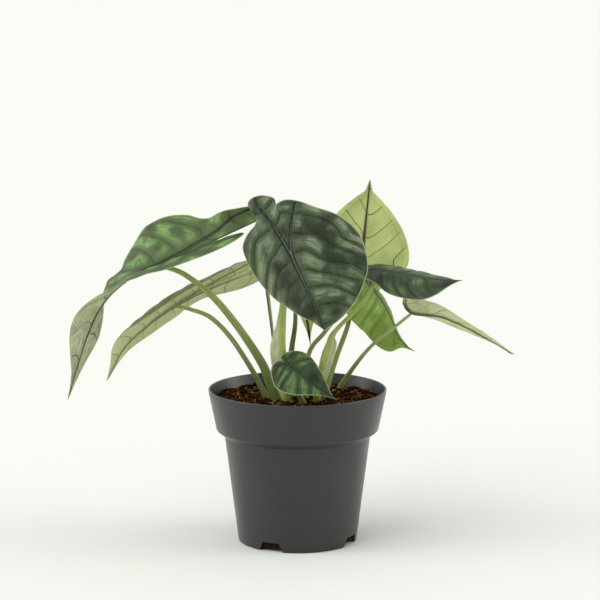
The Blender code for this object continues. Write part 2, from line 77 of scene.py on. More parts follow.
MIX_BELOW_RIM = 7.5
MIX_TOP = POT_HEIGHT - MIX_BELOW_RIM
MIX_EDGE_GAP = 0.35
MIX_SEGMENTS, MIX_RINGS = 200, 84
MIX_SHARP_DEG = 60
CRUMBS = 2400
FIBRES = 190
FLECKS = 260
PEAT_TONES, COIR_TONE, PALE_TONE = (0.0, 0.15), 0.6, 1.0

# Blades and stalks. A stalk is rooted this far below its first row, and near its blade it bends
# in at a point this far out and ends this far below the middle surface.
PLANT_SCALE = 1.0
BLADE_THICKNESS = 0.45
HALF_OUTLINE = 104
BLADE_RINGS = 44
BLADE_SHARP_DEG = 55
STALK_SIDES = 28
STALK_STEPS = 12
STALK_ROOTED = 6.0
STALK_BEND = 3.5
STALK_TIP_BELOW = 1.5

# Each leaf: the midrib as (share of the way from stalk to tip, x, y, z), the way its upper side
# faces at the stalk, the half widths to the left and right of the midrib, then tables against
# the same share: the twist, and for the left and right halves the fold at the midrib and the
# curl out to the edge, in degrees. A lobe length and a sinus depth are shares of the midrib. A half
# that differs from the plain heart shape has its own outline, as (share, share of the half width).
# The stalk is rows of (x, y, z, width, depth) from the mix upwards, and end its thickness at the
# blade. Where a leaf gives no twist or shoulder, it is 0.
LEAVES = {
    "front": dict(
        midrib=((-0.7, -14, -24, 135.5), (0, -3.5, -38, 103), (0.5, 7.5, -47, 80), (1, 18, -52, 56)),
        faces=(-0.05, -0.9, 0.42), widths=(47, 39),
        fold=((-0.7, 0, -2), (0, 0, -12), (0.5, 2, -24), (1, 6, -8)),
        curl=((-0.7, -20, -45), (0, -8, -48), (0.5, -10, -52), (1, -20, -40)), lobe=0.74, sinus=0.32,
        shoulder=1,
        left=((-0.32, 0), (-0.6, 0.004), (-0.7, 0.006), (-0.73, 0.14), (-0.67, 0.32), (-0.55, 0.52),
            (-0.39, 0.77), (-0.2, 0.92), (0.05, 1), (0.3, 0.98), (0.5, 0.9), (0.68, 0.73), (0.82, 0.54),
            (0.93, 0.3), (1, 0)),
        right=((-0.32, 0), (-0.62, 0.004), (-0.78, 0.006), (-0.86, 0.18), (-0.87, 0.36), (-0.82, 0.47),
            (-0.73, 0.45), (-0.6, 0.4), (-0.53, 0.46), (-0.46, 0.64), (-0.33, 0.82), (-0.1, 0.83),
            (0.15, 0.74), (0.42, 0.62), (0.66, 0.38), (0.85, 0.14), (1, 0)),
        stalk=((-6.5, -12, 0, 6, 4.5), (-11, -13, 18, 9.5, 3.6), (-13, -15, 37, 10.5, 3.2),
            (-11, -15, 53, 6.6, 3.4), (-9.5, -17, 66, 4.8, 4), (-8, -21, 82, 4.2, 3.8)), end=3),
    "left_upper": dict(
        midrib=((-0.5, -37.5, 5, 114.5), (0, -91, -2, 92.5), (0.3, -113, -6, 83.5), (0.5, -128, -8, 69.5),
            (0.8, -144, -7, 35.5), (1, -154.5, -6, 0.5)), faces=(-0.1, -0.42, 0.9), widths=(36, 36),
        twist=((-0.5, 5), (0, 0), (0.25, -12), (0.42, -27), (0.55, -48), (0.75, -74), (1, -82)),
        fold=((-0.5, 25, 14), (0, 26, 16), (0.3, 20, 0), (0.5, 10, 18), (0.8, 8, 16), (1, 10, 10)),
        curl=((-0.6, 0, 190), (-0.48, 0, 140), (-0.38, 0, 15), (0, 0, -5), (0.4, -10, -10), (1, -10, -10)),
        lobe=0.50, sinus=0.26,
        right=((-0.26, 0), (-0.45, 0.02), (-0.62, 0.05), (-0.68, 0.16), (-0.61, 0.34), (-0.5, 0.45),
            (-0.35, 0.56), (-0.26, 0.82), (-0.13, 1), (0.05, 0.99), (0.2, 0.86), (0.4, 0.74), (0.6, 0.62),
            (0.77, 0.42), (0.89, 0.17), (1, 0)),
        stalk=((-13.5, -5, 0, 8.5, 6), (-19, -5.5, 14, 6.6, 5), (-24.5, -6, 27, 5.8, 4.6),
            (-39.5, -8, 50.5, 5, 4.2), (-56.5, -9, 71.5, 4.4, 3.8), (-75, -7, 86, 3.6, 3.4)), end=3),
    "left_lower": dict(
        midrib=((-0.8, -31, 20, 86), (0, -83, 22, 61), (0.4, -104, 24, 45), (0.75, -120.5, 24, 27.5),
            (1, -130, 22, 8)), faces=(-0.3, 0.48, 0.8), widths=(29, 28),
        fold=((-0.7, 20, 3), (0, 20, 2), (1, 14, 2)), curl=((-0.7, -68, 0), (0, -74, -5), (1, -60, -5)),
        lobe=0.88, sinus=0.45,
        left=((-0.45, 0), (-0.66, 0.01), (-0.8, 0.03), (-0.88, 0.22), (-0.86, 0.48), (-0.68, 0.74),
            (-0.3, 0.93), (0.07, 1), (0.36, 0.9), (0.6, 0.65), (0.76, 0.38), (0.86, 0.16), (1, 0)),
        right=((-0.45, 0), (-0.66, 0.01), (-0.8, 0.03), (-0.9, 0.3), (-0.89, 0.7), (-0.8, 1.02),
            (-0.68, 1.1), (-0.57, 1.04), (-0.43, 0.8), (-0.27, 0.55), (-0.08, 0.56), (0.12, 0.66),
            (0.36, 0.56), (0.6, 0.38), (0.82, 0.17), (1, 0)),
        stalk=((-21.5, 6, 0, 5.2, 4.4), (-26, 8, 9.5, 3.8, 3.4), (-32.5, 10, 21, 3.5, 3.2),
            (-45.5, 14, 40, 3.3, 3), (-59, 17, 53, 3.1, 2.8), (-72, 18.5, 58, 2.7, 2.6)), end=2.3),
    "back_upright": dict(
        midrib=((-0.6, 44.5, 57, 65), (0, 44.5, 57, 88), (0.5, 47, 59, 112.5), (1, 50, 63, 141.5)),
        faces=(0.1, 1, 0.1), widths=(32.5, 32), fold=((-0.7, 5, 5), (1, 5, 5)),
        curl=((-0.7, -10, -10), (1, -10, -10)), lobe=0.60, sinus=0.30, shoulder=-0.6,
        stalk=((18, 10, 0, 5.5, 4.5), (22.5, 15, 14, 4, 3.6), (27.5, 22, 27.5, 3.4, 3.2),
            (34.5, 33, 45, 3.1, 3), (37, 43, 58, 3, 2.8), (39.5, 51, 73, 2.6, 2.5)), end=2.2),
    "right_upper": dict(
        midrib=((-0.4, 45, 6, 88.5), (0, 55, 1, 88), (0.5, 77, -5, 85), (0.8, 96, -9, 83),
            (1, 110, -11, 83)), faces=(0.1, -0.3, 0.95), widths=(25, 20),
        fold=((-0.7, -9, -20), (0.3, -12, -18), (1, -12, -12)), curl=((-0.7, -12, -25), (1, -12, -20)),
        lobe=0.50, sinus=0.25, shoulder=1.3,
        right=((-0.25, 0), (-0.42, 0.04), (-0.5, 0.2), (-0.4, 0.4), (-0.15, 0.5), (0.07, 0.66),
            (0.22, 0.86), (0.38, 0.97), (0.55, 1), (0.68, 0.93), (0.78, 0.68), (0.87, 0.34), (0.94, 0.13),
            (1, 0)),
        stalk=((12.5, -9.5, 0, 4.6, 3.8), (15.5, -9.5, 12.5, 6, 3.6), (19.5, -8.5, 28, 8.8, 3.2),
            (22.5, -8, 38.5, 7.6, 3), (25, -7.5, 47.5, 3.4, 2.6), (45, -5, 68.5, 2.7, 2.5)), end=2.2),
    "right_hanging": dict(
        midrib=((-0.4, 41.5, 37, 85), (0, 49.5, 35, 73), (0.6, 63.5, 35, 51.5), (0.85, 71.5, 35, 33.5),
            (1, 80.5, 36, 26)), faces=(0.15, -0.85, 0.45), widths=(14, 26),
        fold=((-0.7, -20, 5), (0, -14, 2), (0.25, -50, 4), (1, -62, 5)),
        curl=((-0.7, -30, -10), (0, -40, -10), (1, -10, -25)), lobe=0.50, sinus=0.25, shoulder=1.9,
        right=((-0.25, 0), (-0.42, 0.04), (-0.5, 0.22), (-0.46, 0.5), (-0.3, 0.78), (0, 0.96), (0.3, 1),
            (0.56, 0.92), (0.74, 0.74), (0.84, 0.48), (0.89, 0.14), (1, 0)),
        stalk=((5, 2, 0, 5, 4), (5, 6, 17, 3.6, 3.4), (9, 12, 32, 3.1, 3), (17.5, 18, 41.5, 2.9, 2.8),
            (27, 26, 52, 2.8, 2.7), (36, 36, 62.5, 2.5, 2.4)), end=2),
    "right_lower": dict(
        midrib=((-0.4, 72, 18, 66), (0, 78, 15, 57.5), (0.4, 100.5, 14, 53.5), (0.8, 132, 12, 37.5),
            (1, 147, 12, 28)), faces=(0.2, 0.4, 0.9), widths=(24, 27),
        fold=((-0.7, 5, 14), (0.3, 5, 10), (1, 0, -5)), curl=((-0.7, 0, -5), (1, 0, -15)), lobe=0.50,
        sinus=0.25, shoulder=-1,
        left=((-0.25, 0), (-0.42, 0.04), (-0.45, 0.25), (-0.3, 0.4), (-0.05, 0.42), (0.14, 0.52),
            (0.28, 0.78), (0.42, 0.95), (0.54, 0.82), (0.66, 0.5), (0.78, 0.26), (0.9, 0.08), (1, 0)),
        right=((-0.25, 0), (-0.42, 0.05), (-0.45, 0.3), (-0.34, 0.62), (-0.15, 0.9), (0.06, 0.96),
            (0.24, 0.8), (0.4, 0.55), (0.56, 0.38), (0.74, 0.27), (0.88, 0.14), (1, 0)),
        stalk=((29, 30.5, 0, 5, 4), (33.5, 29.5, 9, 3.4, 3), (42.5, 26, 22.5, 2.8, 2.6),
            (52, 22, 34, 2.4, 2.3), (65, 17.5, 45.5, 2.2, 2.1)), end=1.9),
    "small_front": dict(
        midrib=((-0.5, -11, -26, 31.5), (0, -3.5, -29, 28), (0.5, 7.5, -34, 19.5), (1, 26, -37, 7)),
        faces=(-0.05, -0.75, 0.65), widths=(17, 19), fold=((-0.7, -15, 5), (1, -5, 10)),
        curl=((-0.7, -20, -20), (1, -20, -20)), lobe=0.62, sinus=0.28,
        left=((-0.28, 0), (-0.48, 0.03), (-0.6, 0.16), (-0.57, 0.4), (-0.42, 0.64), (-0.18, 0.86),
            (0.08, 0.99), (0.32, 0.92), (0.52, 0.77), (0.68, 0.52), (0.8, 0.28), (0.9, 0.09), (1, 0)),
        right=((-0.28, 0), (-0.5, 0.03), (-0.64, 0.14), (-0.69, 0.34), (-0.61, 0.58), (-0.4, 0.8),
            (-0.05, 0.97), (0.25, 0.97), (0.46, 0.78), (0.62, 0.5), (0.76, 0.26), (0.88, 0.1), (1, 0)),
        stalk=((3.5, -12, 0, 4.5, 3.5), (-0.5, -15, 9, 3, 2.7), (-3.5, -20.5, 17.5, 2.4, 2.2)), end=1.8),
    "back_hidden": dict(
        midrib=((-0.4, -5, 34, 102), (0, -2.5, 32, 88.5), (0.5, 3.5, 29, 64), (0.8, 7, 27, 46),
            (1, 9, 26, 31.5)), faces=(0.1, 0.9, 0.3), widths=(14, 14), fold=((-0.7, 25, 25), (1, 40, 40)),
        curl=((-0.7, 10, 10), (1, 10, 10)), lobe=0.50, sinus=0.25,
        stalk=((-4.5, 9, 0, 6, 5), (-5, 12, 16, 4.4, 4), (-4, 16, 31, 3.7, 3.4), (-1.5, 20, 49, 3, 2.8),
            (-2, 24.5, 68, 2.6, 2.4)), end=2.2),
}

# How each leaf looks: the veins' spacing as a share of the midrib, the quilting's height in
# millimetres, how much light its underside and its upper side let through, how strongly its side
# veins show above and its fine wrinkles below, the lean and curve of its side veins where they
# aren't the usual ones, and its colours (scene-linear).
# The silver_and_sheen colour is partly the leaf's own silvery tone and partly painted sheen on the raised
# pillows between the side veins.
DEEP = dict(spacing=0.235, quilt=1.5, glow=0.2, glow_top=0.2, lines=0.5, wrinkles=0.0,
            top=(0.044, 0.064, 0.036), silver_and_sheen=(0.245, 0.3, 0.18), vein=(0.006, 0.009, 0.008),
            under=(0.3, 0.35, 0.15), vein_under=(0.06, 0.03, 0.02), through=(0.55, 0.7, 0.3))
LOOKS = {
    "front": DEEP,
    "left_upper": dict(DEEP, spacing=0.17, quilt=1.0, glow=0.45, glow_top=0.33, wrinkles=0.9,
        top=(0.024, 0.048, 0.024), silver_and_sheen=(0.21, 0.4, 0.13), vein=(0.012, 0.018, 0.014),
        under=(0.86, 0.87, 0.63), vein_under=(0.08, 0.048, 0.036), through=(0.65, 0.75, 0.42)),
    "left_lower": dict(DEEP, spacing=0.2, quilt=0.7, glow=0.5, glow_top=0.38, wrinkles=0.3,
        top=(0.026, 0.04, 0.026), silver_and_sheen=(0.18, 0.22, 0.13), under=(0.86, 0.88, 0.54),
        vein_under=(0.33, 0.34, 0.15), through=(0.85, 0.9, 0.55)),
    "back_upright": dict(DEEP, spacing=0.3, quilt=0.35, glow=0.55, glow_top=0.45, lean=0.8, curve=0.006,
        top=(0.2, 0.29, 0.11), under=(0.62, 0.68, 0.33), vein_under=(0.045, 0.028, 0.01),
        through=(0.84, 0.9, 0.5)),
    "right_upper": dict(DEEP, spacing=0.2, quilt=0.9, top=(0.034, 0.056, 0.028),
        silver_and_sheen=(0.14, 0.21, 0.085)),
    "right_hanging": dict(DEEP, spacing=0.24, quilt=0.6, glow=0.45, glow_top=0.45, lines=0.4,
        top=(0.105, 0.175, 0.06), silver_and_sheen=(0.4, 0.52, 0.23), vein=(0.055, 0.095, 0.03),
        under=(0.45, 0.54, 0.18), through=(0.8, 0.95, 0.35)),
    "right_lower": dict(DEEP, spacing=0.24, quilt=0.3, glow=0.55, glow_top=0.6, wrinkles=0.6,
        top=(0.18, 0.23, 0.11), under=(0.84, 0.85, 0.62), vein_under=(0.15, 0.11, 0.05),
        through=(0.88, 0.92, 0.62)),
    "small_front": dict(DEEP, spacing=0.25, quilt=0.8, top=(0.026, 0.058, 0.018),
        silver_and_sheen=(0.17, 0.26, 0.095)),
    "back_hidden": dict(DEEP, spacing=0.3, quilt=0.2, glow=0.6, glow_top=0.6, top=(0.26, 0.33, 0.13),
        under=(0.64, 0.68, 0.36), through=(0.85, 0.92, 0.5)),
}
YOUNG = ("back_upright", "right_hanging", "right_lower", "back_hidden")
# Painted rim light: the pale colour given to the upper side along the margin, where the light behind shines
# round the edge.
PAINTED_RIM_LIGHT = (0.5, 0.52, 0.32)

# Each stalk's colour at its foot and at its blade. On the two left stalks the dark foot is painted shade
# and the bright colour at the blade a painted highlight.
STALK_GREENS = {
    "front": ((0.4, 0.49, 0.15), (0.44, 0.54, 0.19)),
    "left_upper": ((0.09, 0.13, 0.036), (0.48, 0.58, 0.2)),
    "left_lower": ((0.05, 0.08, 0.024), (0.56, 0.64, 0.29)),
    # Painted shade: the hidden back stalk is given a dark green all along for the shadow it stands in
    # behind the others.
    "back_hidden": ((0.075, 0.11, 0.035), (0.075, 0.11, 0.035)),
    "right_upper": ((0.52, 0.64, 0.19), (0.56, 0.63, 0.25)),
    "right_hanging": ((0.29, 0.33, 0.105), (0.35, 0.4, 0.14)),
    "right_lower": ((0.34, 0.41, 0.13), (0.62, 0.67, 0.38)),
    "back_upright": ((0.27, 0.34, 0.1), (0.38, 0.44, 0.16)),
    "small_front": ((0.26, 0.33, 0.1), (0.3, 0.36, 0.12)),
}
STALK_FOOT = (0.15, 0.15, 0.04)

# Which side of a sheathing stalk its round core is on: 1 on the right, -1 on the left. A sheath
# curls by this much times the square of the distance from its core.
SHEATHS = {"front": 1.0, "right_upper": -1.0}
SHEATH_CURL = 0.025

# Soft bright patches of the surround: where each is, how far it spreads in degrees, and its strength.
GLOWS = (
    ((-0.5, -0.5, 0.8), 34.0, 3.0),
    ((0.95, -0.08, 0.3), 30.0, 4.2),
    ((-0.95, -0.06, 0.3), 28.0, 3.6),
)
SURROUND = {"From Min": -1.0, "From Max": 0.5, "To Min": 0.32, "To Max": 0.98}
SURROUND_COLOUR = (0.985, 1.0, 0.965, 1.0)

# The floor and the camera, in metres.
FLOOR_HALF = 20.0
FLOOR_DROP = 0.0002
FLOOR_TONES = ((0.69, 0.69, 0.672), (0.704, 0.704, 0.686))

CAMERA_PLACE = (0.0017, -1.75, 0.456)
CAMERA_DOWN_DEG = 9.467
LENS = 158.9
SENSOR = 36.0


def unit(vectors):
    """The same directions with length one."""
    vectors = np.asarray(vectors, float)
    return vectors / np.linalg.norm(vectors, axis=-1, keepdims=True)


def smooth_step(low, high, value):
    """0 below low, 1 above high, and a smooth rise between."""
    part = np.clip((value - low) / (high - low), 0, 1)
    return part * part * (3 - 2 * part)


def round_turns(count):
    """Angles evenly round a circle."""
    return np.linspace(0, 2 * math.pi, count, endpoint=False)


def spline(points, at):
    """A smooth curve through the points, read at positions counted in points from zero."""
    points = np.asarray(points, float)
    framed = np.vstack([2 * points[0] - points[1], points, 2 * points[-1] - points[-2]])
    start = np.minimum(np.asarray(at).astype(int), len(points) - 2)
    part = (at - start)[:, None]
    a, b, c, d = framed[start], framed[start + 1], framed[start + 2], framed[start + 3]
    return 0.5 * (2 * b + (c - a) * part + (2 * a - 5 * b + 4 * c - d) * part ** 2
                  + (3 * b - a - 3 * c + d) * part ** 3)


def smooth_table(rows, at):
    """A smooth curve through rows of (place, value, ...) whose places are unevenly spaced."""
    rows = np.asarray(rows, float)
    place, value = rows[:, 0], rows[:, 1:]
    slope = np.diff(value, axis=0) / np.diff(place)[:, None]
    span = np.diff(place)[:, None]
    inner = (slope[:-1] * span[1:] + slope[1:] * span[:-1]) / (span[:-1] + span[1:])
    tangent = np.vstack([1.5 * slope[0] - 0.5 * inner[0], inner, 1.5 * slope[-1] - 0.5 * inner[-1]])
    i = np.clip(np.searchsorted(place, at) - 1, 0, len(place) - 2)
    s = ((at - place[i]) / (place[i + 1] - place[i]))[:, None]
    h = span[i]
    return ((2 * s ** 3 - 3 * s ** 2 + 1) * value[i] + (s ** 3 - 2 * s ** 2 + s) * h * tangent[i]
            + (3 * s ** 2 - 2 * s ** 3) * value[i + 1] + (s ** 3 - s ** 2) * h * tangent[i + 1])


def plant_point(x, y, z):
    """A plant point in millimetres from the middle of the mix's surface, in the pot's frame."""
    return np.array([x, y, z]) * PLANT_SCALE + np.array([0, 0, MIX_TOP])


def waves(points, length, seed, count=7):
    """A smooth random height from -1 to 1 at 3-D points, with bumps about this long."""
    rng = np.random.default_rng(seed)
    total = np.zeros(points.shape[:-1])
    for _ in range(count):
        direction = unit(rng.normal(size=3))
        pace = 2 * math.pi / (length * rng.uniform(0.75, 1.5))
        total += np.sin(points @ direction * pace + rng.uniform(0, 2 * math.pi))
    return total / math.sqrt(count)


class Blade:
    """A heart-shaped blade laid along a curved, twisting midrib."""

    STEPS = 191

    def __init__(self, leaf):
        self.leaf = leaf
        rows = [(row[0], *plant_point(*row[1:])) for row in leaf["midrib"]]
        self.share = np.linspace(-0.9, 1, self.STEPS)
        self.centre = smooth_table(rows, self.share)
        self.along = unit(np.gradient(self.centre, self.share, axis=0))
        self.root = int(np.argmin(abs(self.share)))
        self.up = self.carry_up(unit(leaf["faces"]))
        self.length = float(np.linalg.norm(np.diff(self.centre[self.root:], axis=0), axis=1).sum())
        turn = np.radians(np.interp(self.share, *zip(*leaf.get("twist", ((0, 0),)))))
        side = np.cross(self.up, self.along)
        cos, sin = np.cos(turn)[:, None], np.sin(turn)[:, None]
        self.side = side * cos - self.up * sin
        self.up = self.up * cos + side * sin

    def carry_up(self, faces):
        """The facing direction carried along the midrib without any twist."""
        up = np.zeros_like(self.centre)
        for order in (range(self.root, self.STEPS), range(self.root, -1, -1)):
            last = faces
            for i in order:
                last = unit(last - self.along[i] * (last @ self.along[i]))
                up[i] = last
        return up

    def read(self, values, share):
        """A value of the midrib at any share of its length."""
        place = np.clip((share - self.share[0]) / (self.share[1] - self.share[0]), 0, self.STEPS - 1.001)
        i = place.astype(int)
        part = (place - i)[..., None]
        return values[i] * (1 - part) + values[i + 1] * part

    def widths(self, across):
        """The blade's half width on the side that each distance across is on."""
        left, right = np.array(self.leaf["widths"]) * PLANT_SCALE
        return np.where(across >= 0, left, right)

    def point(self, share, across):
        """The middle surface at a share of the midrib and a distance across it, left positive."""
        left = across >= 0

        def table(name):
            place, *halves = zip(*self.leaf[name])
            return np.radians(np.where(left, *(np.interp(share, place, half) for half in halves)))

        fold = table("fold")
        bend = table("curl") / self.widths(across)
        bend = np.where(abs(bend) < 1e-6, 1e-6, bend)
        far = abs(across)
        out = (np.sin(fold + bend * far) - np.sin(fold)) / bend * np.where(left, 1, -1)
        rise = (np.cos(fold) - np.cos(fold + bend * far)) / bend
        return (self.read(self.centre, share) + self.read(self.side, share) * out[..., None]
                + self.read(self.up, share) * rise[..., None])

    def normal(self, share, across):
        """The middle surface's own normal, facing up from the blade, evened out over the midrib."""
        ahead = self.point(share + 0.004, across) - self.point(share - 0.004, across)
        over = self.point(share, across + 0.4) - self.point(share, across - 0.4)
        return unit(np.cross(ahead, over))

    def outline(self, half):
        """The left or right half's flat outline, from the sinus round the lobe to the tip, as shares."""
        lobe, sinus, shoulder = self.leaf["lobe"], self.leaf["sinus"], self.leaf.get("shoulder", 0)
        heart = ((-sinus, 0), (-0.69 * lobe, 0.04), (-0.9 * lobe, 0.1), (-lobe, 0.25),
                 (-0.96 * lobe, 0.46), (-0.74 * lobe, 0.72), (-0.33 * lobe, 0.93), (0.07, 1),
                 (0.36, 0.9 + 0.04 * shoulder), (0.6, 0.65 + 0.08 * shoulder),
                 (0.76, 0.38 + 0.1 * shoulder), (0.86, 0.16 + 0.1 * shoulder), (0.915, 0.055), (1, 0))
        points = self.leaf.get(half, heart)
        edge = spline(points, np.linspace(0, len(points) - 1, HALF_OUTLINE + 1))
        return edge[:, 0], np.clip(edge[:, 1], 0, None)

    def flat(self):
        """Rings of flat places from near the stalk out to the edge: share, across, ring share."""
        (share, across), (right_share, right_across) = self.outline("left"), self.outline("right")
        left, right = np.array(self.leaf["widths"]) * PLANT_SCALE
        share = np.concatenate([share, right_share[-2:0:-1]])
        across = np.concatenate([across * left, -right_across[-2:0:-1] * right])
        rings = (np.linspace(0, 1, BLADE_RINGS + 1)[1:, None]) ** 0.92
        return rings * share, rings * across, rings * np.ones_like(share)


class Veins:
    """Where the veins run on a flat blade, as smooth values that a mesh can carry."""

    LATERAL_LEAN = 0.28
    LATERAL_CURVE = 0.014
    INNER_LEAN = 0.3
    COLLECTIVE = 4.2

    def __init__(self, blade, look, share, across, seed, distance_to_edge):
        spacing = look["spacing"] * blade.length
        back = np.clip(-share / blade.leaf["lobe"], 0, 1)
        ahead = np.clip(share, 0, 1)
        width = blade.widths(across)
        costa = width * (0.14 * back + 0.17 * back ** 2)
        away = abs(across) - costa
        lean = look.get("lean", self.LATERAL_LEAN) * (1 - back)
        outer = -lean * away - look.get("curve", self.LATERAL_CURVE) * away ** 2
        along = share * blade.length
        shift = 0.22 * np.tanh(across / 3)
        place = np.stack([along, across, np.zeros_like(along)], axis=-1)
        stray = 0.17 * waves(place, 2.2 * spacing, seed + 90) * smooth_step(2, 12, abs(away))
        self.phase = (along + np.where(away > 0, outer, -self.INNER_LEAN * away)) / spacing + shift + stray
        self.spacing = spacing
        self.spine = abs(away)
        self.rib = (0.4 + 1.15 * np.exp(-2.2 * ahead) * np.exp(-1.6 * back)) * min(1, blade.length / 55)
        self.edge = distance_to_edge
        self.along, self.across = along, across

    def pillow(self):
        """1 midway between two side veins, 0 on a vein, the midrib or the margin."""
        between = abs(np.sin(math.pi * self.phase)) ** 0.75
        return between * smooth_step(0, 7, self.spine) * smooth_step(0, 7, self.edge)


def rim_distance(points):
    """The distance from each ring's point out to the edge along its own ray."""
    steps = np.linalg.norm(np.diff(points, axis=0), axis=2)
    outward = np.cumsum(steps[::-1], axis=0)[::-1]
    return np.vstack([outward, np.zeros((1, points.shape[1]))])


def sheet_faces(rings, count):
    """Triangles round a root point, then quads between the rings of points about it."""
    i = np.arange(count)
    j = (i + 1) % count
    low = 1 + count * np.arange(rings - 1)[:, None]
    quads = np.stack([low + i, low + count + i, low + count + j, low + j], axis=-1)
    fan = np.stack([np.zeros(count, int), 1 + i, 1 + j], axis=1)
    return fan.tolist() + quads.reshape(-1, 4).tolist()


def tube_faces(rows, sides):
    """The first end of a tube of rings of points, then its walls, then its last end."""
    k = np.arange(sides)
    low = sides * np.arange(rows - 1)[:, None]
    after = (k + 1) % sides
    walls = np.stack([low + k, low + after, low + sides + after, low + sides + k], axis=-1)
    return [k[::-1].tolist()] + walls.reshape(-1, 4).tolist() + [((rows - 1) * sides + k).tolist()]


def write_attribute(mesh, key, values):
    """Values on a mesh's vertices: numbers, or vectors where they come in rows of three."""
    values = np.asarray(values, np.float32)
    kind, field = ("FLOAT_VECTOR", "vector") if values.ndim == 2 else ("FLOAT", "value")
    mesh.attributes.new(key, kind, "POINT").data.foreach_set(field, values.ravel())


def new_object(name, points, faces, attributes=(), sharp_deg=None):
    """A smooth-shaded object in metres from points in millimetres, with values on its vertices."""
    mesh = bpy.data.meshes.new(name)
    mesh.from_pydata((np.asarray(points, float) * MM).tolist(), [], faces)
    for key, values in dict(attributes).items():
        write_attribute(mesh, key, values)
    mesh.validate()
    mesh.shade_smooth()
    if sharp_deg:
        mesh.set_sharp_from_angle(angle=math.radians(sharp_deg))
    obj = bpy.data.objects.new(name, mesh)
    bpy.context.scene.collection.objects.link(obj)
    return obj


def declare(obj, material, slot, *nodes):
    """Gives a piece its material and its body, and hides the CAD nodes it stands for. The slot is not used.
    """
    obj.data.materials.append(material)
    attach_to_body(obj, "root")
    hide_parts(*nodes)


# ---- materials


class Shader:
    """The nodes of a material or a world. An input is a plain value or another node's output."""

    def __init__(self, owner):
        owner.use_nodes = True
        self.owner, self.tree = owner, owner.node_tree
        self.tree.nodes.clear()

    def node(self, kind, inputs=None, settings=None, out=0):
        made = self.tree.nodes.new("ShaderNode" + kind)
        for key, value in (settings or {}).items():
            setattr(made, key, value)
        for key, value in (inputs or {}).items():
            if isinstance(value, bpy.types.NodeSocket):
                self.tree.links.new(value, made.inputs[key])
            else:
                made.inputs[key].default_value = value
        return made.outputs[out]

    def maths(self, operation, a, b=0):
        return self.node("Math", {0: a, 1: b}, {"operation": operation})

    def times(self, a, b):
        return self.maths("MULTIPLY", a, b)

    def plus(self, a, b):
        return self.maths("ADD", a, b)

    def most(self, a, b):
        return self.maths("MAXIMUM", a, b)

    def apart(self, a, b):
        return self.maths("ABSOLUTE", self.maths("SUBTRACT", a, b))

    def step(self, value, low, high, start=0, end=1):
        """A smooth change from start to end as the value goes from low to high."""
        return self.node("MapRange", {"Value": value, "From Min": low, "From Max": high,
                                      "To Min": start, "To Max": end}, {"interpolation_type": "SMOOTHSTEP"})

    def fall(self, value, low, high, start=1):
        return self.step(value, low, high, start, 0)

    def mix(self, factor, a, b):
        a, b = (v if isinstance(v, bpy.types.NodeSocket) else (*v, 1) for v in (a, b))
        return self.node("Mix", {0: factor, 6: a, 7: b}, {"data_type": "RGBA"}, out=2)

    def attribute(self, name, vector=False):
        return self.node("Attribute", settings={"attribute_name": name}, out="Vector" if vector else "Fac")

    def split(self, vector):
        node = self.tree.nodes.new("ShaderNodeSeparateXYZ")
        self.tree.links.new(vector, node.inputs[0])
        return node.outputs

    def join(self, x, y, z=0):
        return self.node("CombineXYZ", {0: x, 1: y, 2: z})

    def noise(self, vector, scale, detail=3, roughness=0.55):
        return self.node("TexNoise", {"Vector": vector, "Scale": scale, "Detail": detail,
                                      "Roughness": roughness})

    def grain(self, scale, detail, roughness=0.55):
        """Noise in the object's own space, with about this many bumps per metre on x, y and z."""
        where = self.node("TexCoord", out="Object")
        return self.noise(self.node("Mapping", {"Vector": where, "Scale": scale}), 1, detail, roughness)

    def cells(self, vector, scale):
        """0 on the edge of a cell, rising towards its middle."""
        return self.node("TexVoronoi", {"Vector": vector, "Scale": scale}, {"feature": "DISTANCE_TO_EDGE"})

    def bump(self, height, strength, distance):
        return self.node("Bump", {"Height": height, "Strength": strength, "Distance": distance})

    def skin(self, colour, rough, specular, **others):
        return self.node("BsdfPrincipled", {"Base Color": colour, "Roughness": rough,
                                            "Specular IOR Level": specular, **others})

    def surface(self, shader):
        end = self.tree.nodes.new("ShaderNodeOutput" + type(self.owner).__name__)
        self.tree.links.new(shader, end.inputs["Surface"])
        return self.owner


